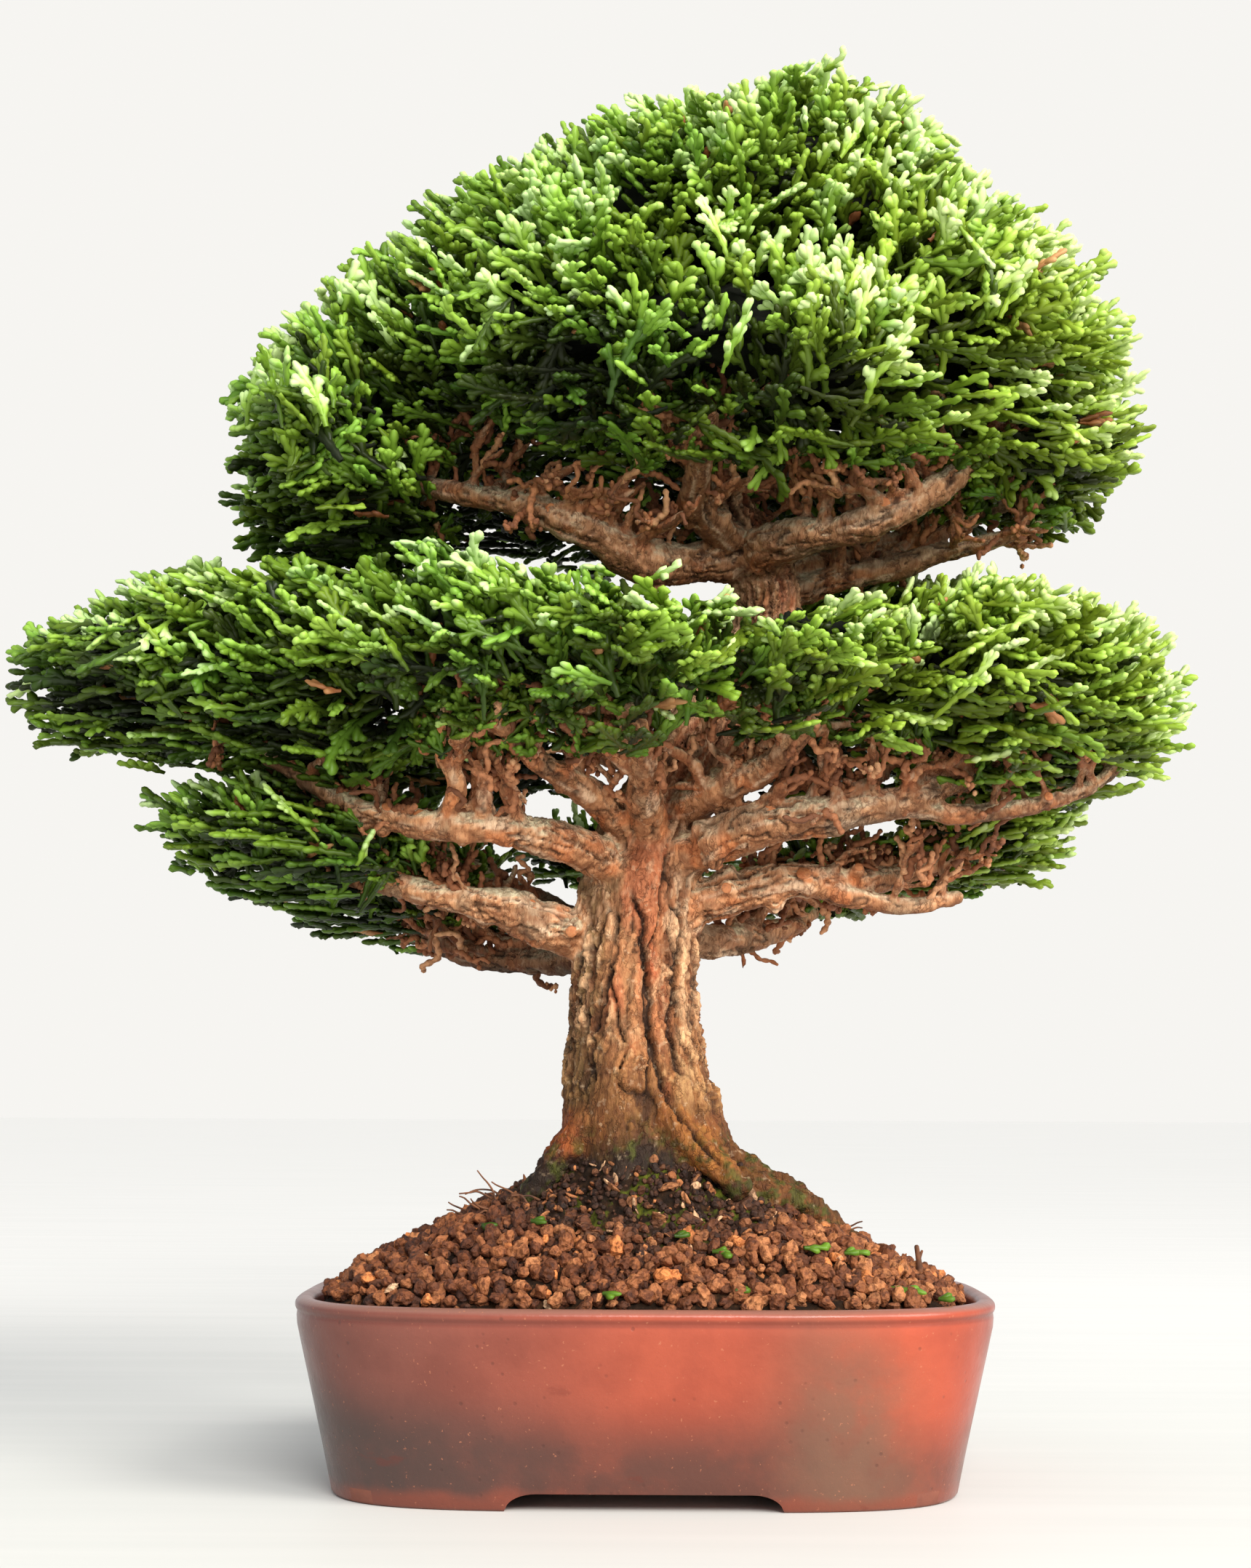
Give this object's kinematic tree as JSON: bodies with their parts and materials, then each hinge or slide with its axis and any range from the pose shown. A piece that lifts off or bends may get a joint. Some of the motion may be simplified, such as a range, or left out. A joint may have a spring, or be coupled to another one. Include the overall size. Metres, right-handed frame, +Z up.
{
  "type": "potted bonsai tree",
  "caption": "Small trained conifer with layered foliage pads and a stout trunk, growing on mounded grit in a low rectangular glazed pot with cut-out feet; it stands free.",
  "frame": {"origin": "centre of the whole object's box in plan, on the surface that the pot's feet stand on", "axes": "+Z up along the trunk, +X to the viewer's right along the pot's length, -Y towards the viewer, the front of the tree"},
  "size_m": [0.3552, 0.235, 0.4332],
  "materials": {
    "glaze": "satin",
    "screen": "matte",
    "soil": "matte",
    "bark": "matte",
    "foliage": "satin"
  },
  "bodies": {
    "root": {"pot": "glaze", "drain_screen_left": "screen", "drain_screen_right": "screen", "soil": "soil", "trunk_and_limbs": "bark", "foliage_crown_back": "foliage", "foliage_crown_front": "foliage", "foliage_crown_left": "foliage", "foliage_crown_left_upper": "foliage", "foliage_crown_right": "foliage", "foliage_crown_right_low": "foliage", "foliage_crown_top": "foliage", "foliage_low_back": "foliage", "foliage_low_left": "foliage", "foliage_low_left_back": "foliage", "foliage_low_right": "foliage", "foliage_low_right_back": "foliage", "foliage_mid_back_left": "foliage", "foliage_mid_back_right": "foliage", "foliage_mid_front": "foliage", "foliage_mid_front_right": "foliage", "foliage_mid_left": "foliage", "foliage_mid_left_front": "foliage", "foliage_mid_left_tip": "foliage", "foliage_mid_right": "foliage", "foliage_mid_right_tip": "foliage"}
  },
  "joints": []
}
